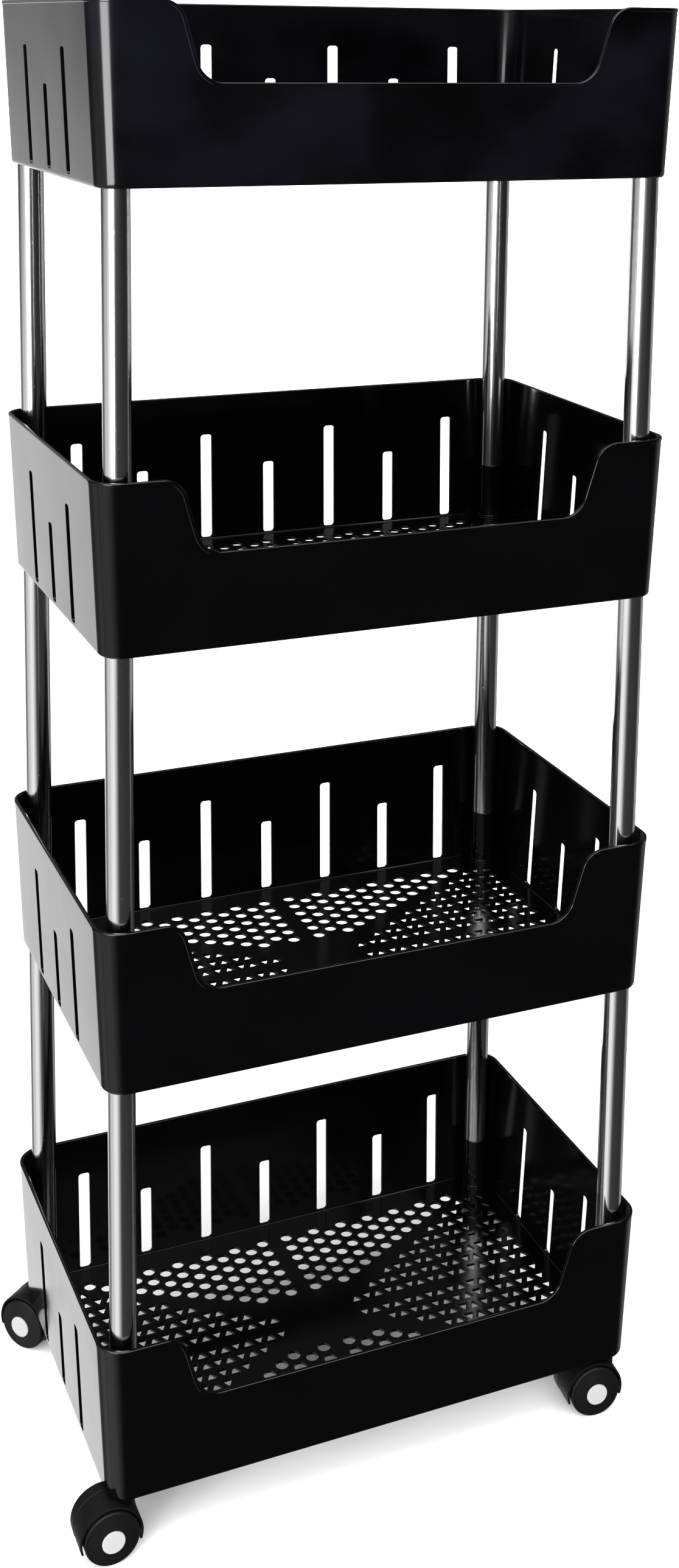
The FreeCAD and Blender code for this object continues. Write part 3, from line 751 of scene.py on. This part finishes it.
class Nodes:
    """Short names for adding and linking shader nodes."""

    def __init__(self, tree):
        self.tree = tree

    def add(self, kind, **values):
        node = self.tree.nodes.new("ShaderNode" + kind)
        for name, value in values.items():
            setattr(node, name, value)
        return node

    def link(self, source, target):
        self.tree.links.new(source, target)

    def math(self, operation, first, second=0.0):
        node = self.add("Math", operation=operation)
        for socket, value in zip(node.inputs, (first, second)):
            if isinstance(value, (int, float)):
                socket.default_value = value
            else:
                self.link(value, socket)
        return node.outputs[0]

    def noise(self, vector, scale, detail=2.0, roughness=0.5):
        node = self.add("TexNoise")
        node.inputs["Scale"].default_value = scale
        node.inputs["Detail"].default_value = detail
        node.inputs["Roughness"].default_value = roughness
        self.link(vector, node.inputs["Vector"])
        return node.outputs["Fac"]

    def stretched(self, vector, scale):
        node = self.add("Mapping")
        node.inputs["Scale"].default_value = scale
        self.link(vector, node.inputs["Vector"])
        return node.outputs["Vector"]

    def ranged(self, value, low, high, to_low, to_high, smooth=False):
        node = self.add("MapRange")
        node.interpolation_type = "SMOOTHSTEP" if smooth else "LINEAR"
        limits = {"From Min": low, "From Max": high, "To Min": to_low, "To Max": to_high}
        for name, number in limits.items():
            node.inputs[name].default_value = number
        self.link(value, node.inputs["Value"])
        return node.outputs["Result"]

    def ramp(self, value, stops):
        """Brightness round the compass, as a share of the brightest."""
        node = self.add("ValToRGB")
        points = node.color_ramp.elements
        for number, (angle, brightness) in enumerate(stops):
            place = (angle + 180) / 360
            if number == 0:
                point = points[0]
            elif number == len(stops) - 1:
                point = points[-1]
            else:
                point = points.new(place)
            point.position = place
            point.color = (brightness / BRIGHTEST,) * 3 + (1.0,)
        self.link(value, node.inputs[0])
        return node.outputs["Color"]

    def mixed(self, factor, first, second):
        node = self.add("Mix", data_type="RGBA")
        for socket, value in ((node.inputs[6], first), (node.inputs[7], second)):
            socket.default_value = value
        self.link(factor, node.inputs[0])
        return node.outputs[2]

    def bump(self, height, strength, distance, base=None):
        node = self.add("Bump")
        node.inputs["Strength"].default_value = strength
        node.inputs["Distance"].default_value = distance
        self.link(height, node.inputs["Height"])
        if base is not None:
            self.link(base, node.inputs["Normal"])
        return node.outputs["Normal"]


BLACK_GLOSS = (0.0006, 0.0006, 0.0007, 1.0)
HAZE_MARK_COLOUR = (0.0065, 0.0065, 0.0115, 1.0)
# heights of a piece's origin over which its pale haze marks grow from their least share to full strength
MARKS_RISE_FROM = 0.62
MARKS_RISE_FULL = 0.90
MARKS_LEAST_LOW_DOWN = 0.12
GLOSS_IOR = 1.38
MATT_IOR = 1.24


def new_material(name):
    material = bpy.data.materials.new(name)
    material.use_nodes = True
    nodes = Nodes(material.node_tree)
    shader = material.node_tree.nodes["Principled BSDF"]
    where = nodes.add("TexCoord").outputs["Object"]
    return material, nodes, shader, where


def moulded_plastic(name):
    """Glossy black injection moulding: faint flow waves, haze and hairline scuffs, with more of the pale
    haze marks on pieces that stand higher up.
    """
    material, nodes, shader, where = new_material(name)
    origin = nodes.add("ObjectInfo").outputs["Location"]
    own = nodes.add("VectorMath", operation="ADD")
    nodes.link(where, own.inputs[0])
    nodes.link(nodes.stretched(origin, (0.0, 0.0, 3.7)), own.inputs[1])
    own = own.outputs[0]
    smears = nodes.noise(nodes.stretched(own, (1.0, 1.0, 1.2)), 13.0, 4.0, 0.5)
    scuffs = nodes.noise(nodes.stretched(own, (1.0, 1.0, 14.0)), 60.0, 6.0, 0.7)
    grain = nodes.noise(own, 2600.0, 2.0)
    haze = nodes.ranged(smears, 0.30, 0.75, 0.0, 1.0, smooth=True)
    hairs = nodes.ranged(scuffs, 0.66, 0.78, 0.0, 1.0, smooth=True)
    marks = nodes.math("MULTIPLY", haze, nodes.math("ADD", nodes.math("MULTIPLY", hairs, 0.8), 0.35))
    # the pale haze marks are mixed in more strongly the higher a piece stands, so higher trays and posts
    # look paler
    height = nodes.add("SeparateXYZ")
    nodes.link(origin, height.inputs[0])
    rise_with_height = nodes.ranged(height.outputs[2], MARKS_RISE_FROM, MARKS_RISE_FULL, MARKS_LEAST_LOW_DOWN, 1.0)
    haze_marks_by_height = nodes.math("MULTIPLY", marks, rise_with_height)
    nodes.link(nodes.mixed(haze_marks_by_height, BLACK_GLOSS, HAZE_MARK_COLOUR), shader.inputs["Base Color"])
    polish = nodes.ranged(smears, 0.3, 0.75, 0.09, 0.15)
    rough = nodes.math("ADD", polish, nodes.math("MULTIPLY", marks, 0.1))
    nodes.link(rough, shader.inputs["Roughness"])
    waves = nodes.bump(nodes.noise(own, 9.0, 2.0), 0.3, 0.0012)
    nodes.link(nodes.bump(grain, 0.10, 0.00002, waves), shader.inputs["Normal"])
    shader.inputs["IOR"].default_value = GLOSS_IOR
    return material


def grained_plastic(name, dark, light, roughness):
    """Matt plastic with a fine spark-eroded grain."""
    material, nodes, shader, where = new_material(name)
    grain = nodes.noise(where, 1900.0, 3.0, 0.6)
    patches = nodes.noise(where, 90.0, 3.0)
    speckle = nodes.ranged(grain, 0.35, 0.7, 0.0, 1.0)
    nodes.link(nodes.mixed(speckle, dark, light), shader.inputs["Base Color"])
    rough = nodes.ranged(patches, 0.3, 0.7, roughness - 0.06, roughness + 0.08)
    nodes.link(rough, shader.inputs["Roughness"])
    nodes.link(nodes.bump(grain, 0.35, 0.00006), shader.inputs["Normal"])
    shader.inputs["IOR"].default_value = MATT_IOR
    return material


def drawn_metal(name, colour, low, high):
    """Metal with fine streaks along Z from drawing and polishing."""
    material, nodes, shader, where = new_material(name)
    streaks = nodes.noise(nodes.stretched(where, (1.0, 1.0, 0.006)), 900.0, 4.0, 0.65)
    broad = nodes.noise(nodes.stretched(where, (1.0, 1.0, 0.02)), 210.0, 2.0)
    flecks = nodes.ranged(nodes.noise(where, 420.0, 3.0), 0.68, 0.76, 0.0, 1.0, smooth=True)
    dull = tuple(c * 0.86 for c in colour[:3]) + (1.0,)
    nodes.link(nodes.mixed(streaks, dull, colour), shader.inputs["Base Color"])
    polish = nodes.ranged(streaks, 0.3, 0.7, low, high)
    rough = nodes.math("ADD", polish, nodes.math("MULTIPLY", flecks, 0.12))
    nodes.link(rough, shader.inputs["Roughness"])
    ripple = nodes.bump(broad, 0.22, 0.00012)
    nodes.link(nodes.bump(streaks, 0.10, 0.00002, ripple), shader.inputs["Normal"])
    shader.inputs["Metallic"].default_value = 1.0
    return material


# ---------------------------------------------------------------- stage

CAMERA_AT = Vector((-0.49269, -1.21014, 0.99847))
CAMERA_YAW = math.radians(-23.21)
CAMERA_PITCH = math.radians(-8.91)
CAMERA_ROLL = math.radians(0.77)
FRAME_HEIGHT = 2576
SENSOR = 36.0
FOCAL_PIXELS = 3153.1
CAMERA_SHIFT = (-0.0162, -0.2903)


def build_camera():
    """Camera whose frame is the lower part of a wider view, so it is shifted down."""
    camera = bpy.data.objects.new("camera", bpy.data.cameras.new("camera"))
    bpy.context.scene.collection.objects.link(camera)
    forward = Vector((-math.sin(CAMERA_YAW) * math.cos(CAMERA_PITCH),
                      math.cos(CAMERA_YAW) * math.cos(CAMERA_PITCH), math.sin(CAMERA_PITCH)))
    level = Vector((math.cos(CAMERA_YAW), math.sin(CAMERA_YAW), 0))
    upright = level.cross(forward)
    right = level * math.cos(CAMERA_ROLL) + upright * math.sin(CAMERA_ROLL)
    up = upright * math.cos(CAMERA_ROLL) - level * math.sin(CAMERA_ROLL)
    turn = Matrix((right, up, -forward)).transposed().to_4x4()
    camera.matrix_world = Matrix.Translation(CAMERA_AT) @ turn
    camera.data.sensor_width = SENSOR
    camera.data.lens = FOCAL_PIXELS / FRAME_HEIGHT * SENSOR
    camera.data.shift_x, camera.data.shift_y = CAMERA_SHIFT
    camera.data.clip_start = 0.01
    camera.data.clip_end = 50.0
    bpy.context.scene.camera = camera


# surroundings at eye level and below it: (compass angle, brightness), 0 at +X and 90 at +Y
SEEN_LEVEL = ((-180, 0.4), (-150, 0.6), (-128, 0.9), (-116, 0.45), (-104, 0.12), (-60, 0.015),
              (-15, 0.01), (0, 0.25), (22, 0.35), (45, 0.08), (75, 0.12), (88, 0.6), (104, 0.6),
              (112, 0.02), (140, 0.03), (160, 0.2), (180, 0.4))
SEEN_LOW = ((-180, 0.95), (-150, 1.1), (-138, 0.8), (-125, 0.4), (-115, 0.11), (-104, 0.05), (-20, 0.035),
            (-8, 0.15), (5, 0.4), (25, 0.35), (40, 0.03), (66, 0.1), (82, 1.3), (92, 1.6), (106, 1.6),
            (114, 0.16), (136, 0.2), (160, 0.8), (174, 0.8), (177, 0.45), (180, 0.95))
BRIGHTEST = 2.0
OVERHEAD = 4.8
OVERHEAD_TOWARDS = Vector((-0.20, -0.40, 0.89)).normalized()
OVERHEAD_EDGE = (0.62, 0.86)
BELOW_EYE_LEVEL = (0.02, -0.24)


def build_world():
    """Studio surroundings: a soft light above, bright floor to the left and behind, dark to the right."""
    world = bpy.data.worlds.new("studio")
    bpy.context.scene.world = world
    world.use_nodes = True
    nodes = Nodes(world.node_tree)
    ground = world.node_tree.nodes["Background"]
    direction = nodes.add("TexCoord").outputs["Generated"]
    split = nodes.add("SeparateXYZ")
    nodes.link(direction, split.inputs[0])
    x, y, z = split.outputs
    compass = nodes.ranged(nodes.math("ARCTAN2", y, x), -math.pi, math.pi, 0.0, 1.0)
    level = nodes.ramp(compass, SEEN_LEVEL)
    low = nodes.ramp(compass, SEEN_LOW)
    below = nodes.ranged(z, *BELOW_EYE_LEVEL, 0.0, 1.0, smooth=True)
    around = nodes.math("ADD", nodes.math("MULTIPLY", low, below),
                        nodes.math("MULTIPLY", level, nodes.math("SUBTRACT", 1.0, below)))
    towards = nodes.add("VectorMath", operation="DOT_PRODUCT")
    nodes.link(direction, towards.inputs[0])
    towards.inputs[1].default_value = OVERHEAD_TOWARDS
    above = nodes.ranged(towards.outputs["Value"], *OVERHEAD_EDGE, 0.0, OVERHEAD / BRIGHTEST, smooth=True)
    total = nodes.math("MULTIPLY", nodes.math("ADD", around, above), BRIGHTEST)
    nodes.link(total, ground.inputs["Strength"])
    ground.inputs["Color"].default_value = (1.0, 1.0, 1.0, 1.0)


FLOOR_RADIUS = 7.0
FLOOR_COLOUR = (0.9, 0.9, 0.9, 1.0)
FLOOR_GLOW = 0.02
BACKDROP_RADIUS = 12.0
BACKDROP_COLOUR = (1.0, 1.0, 1.0, 1.0)
BACKDROP_GLOW = 1.2


def stage_material(name, colour, glow):
    material, nodes, shader, where = new_material(name)
    speckle = nodes.noise(where, 3.0, 2.0)
    lighter = tuple(min(1.0, c * 1.01) for c in colour[:3]) + (1.0,)
    nodes.link(nodes.mixed(speckle, colour, lighter), shader.inputs["Base Color"])
    shader.inputs["Roughness"].default_value = 0.9
    shader.inputs["Emission Color"].default_value = colour
    shader.inputs["Emission Strength"].default_value = glow
    return material


def build_stage():
    """Pale floor and a plain white backdrop behind everything."""
    floor = bpy.data.objects.new("floor", bpy.data.meshes.new("floor"))
    work = bmesh.new()
    bmesh.ops.create_circle(work, cap_ends=True, segments=64, radius=FLOOR_RADIUS)
    work.to_mesh(floor.data)
    work.free()
    floor.data.materials.append(stage_material("pale_floor", FLOOR_COLOUR, FLOOR_GLOW))
    floor.visible_glossy = False
    backdrop = bpy.data.objects.new("backdrop", bpy.data.meshes.new("backdrop"))
    work = bmesh.new()
    bmesh.ops.create_icosphere(work, subdivisions=4, radius=BACKDROP_RADIUS)
    work.to_mesh(backdrop.data)
    work.free()
    backdrop.data.materials.append(stage_material("white_backdrop", BACKDROP_COLOUR, BACKDROP_GLOW))
    backdrop.visible_glossy = False
    backdrop.visible_diffuse = False
    backdrop.visible_shadow = False
    backdrop.visible_transmission = False
    for obj in (floor, backdrop):
        bpy.context.scene.collection.objects.link(obj)


KEY_DISTANCE = 3.0
KEY_COMPASS = math.radians(-140)
KEY_SIZE = (1.57, 0.9)
KEY_BOTTOM = 0.25
KEY_WATTS = 75.0


def build_lights():
    """One large soft light to the camera's left."""
    key = bpy.data.objects.new("key", bpy.data.lights.new("key", "AREA"))
    key.data.shape = "RECTANGLE"
    key.data.size, key.data.size_y = KEY_SIZE
    key.data.energy = KEY_WATTS
    outwards = Vector((math.cos(KEY_COMPASS), math.sin(KEY_COMPASS), 0))
    key.location = outwards * KEY_DISTANCE + Vector((0, 0, KEY_BOTTOM + KEY_SIZE[1] / 2))
    key.rotation_euler = outwards.to_track_quat("Z", "Y").to_euler()
    key.visible_camera = False
    bpy.context.scene.collection.objects.link(key)


# ---------------------------------------------------------------- scene

build_camera()
build_world()
build_stage()
build_lights()

tray_plastic = moulded_plastic("tray_plastic")
post_plastic = moulded_plastic("post_plastic")
chrome = drawn_metal("tube_chrome", (0.80, 0.80, 0.80, 1.0), 0.10, 0.18)
steel = drawn_metal("stem_steel", (0.55, 0.55, 0.56, 1.0), 0.25, 0.4)
hood_plastic = grained_plastic("caster_plastic", (0.001, 0.001, 0.0011, 1.0),
                               (0.004, 0.004, 0.0044, 1.0), 0.5)
wheel_plastic = grained_plastic("wheel_plastic", (0.0015, 0.0015, 0.0018, 1.0),
                                (0.005, 0.005, 0.006, 1.0), 0.48)
cap_plastic = grained_plastic("cap_plastic", (0.29, 0.29, 0.29, 1.0), (0.33, 0.33, 0.33, 1.0), 0.4)

build_trays(tray_plastic)
build_posts_and_tubes(post_plastic, chrome)
build_casters(hood_plastic, wheel_plastic, cap_plastic)
for corner in CORNERS:
    for node in ("caster_stem_", "caster_axle_"):
        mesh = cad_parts[node + corner].data
        mesh.materials.clear()
        mesh.materials.append(steel)

bpy.context.scene.view_settings.view_transform = "Standard"
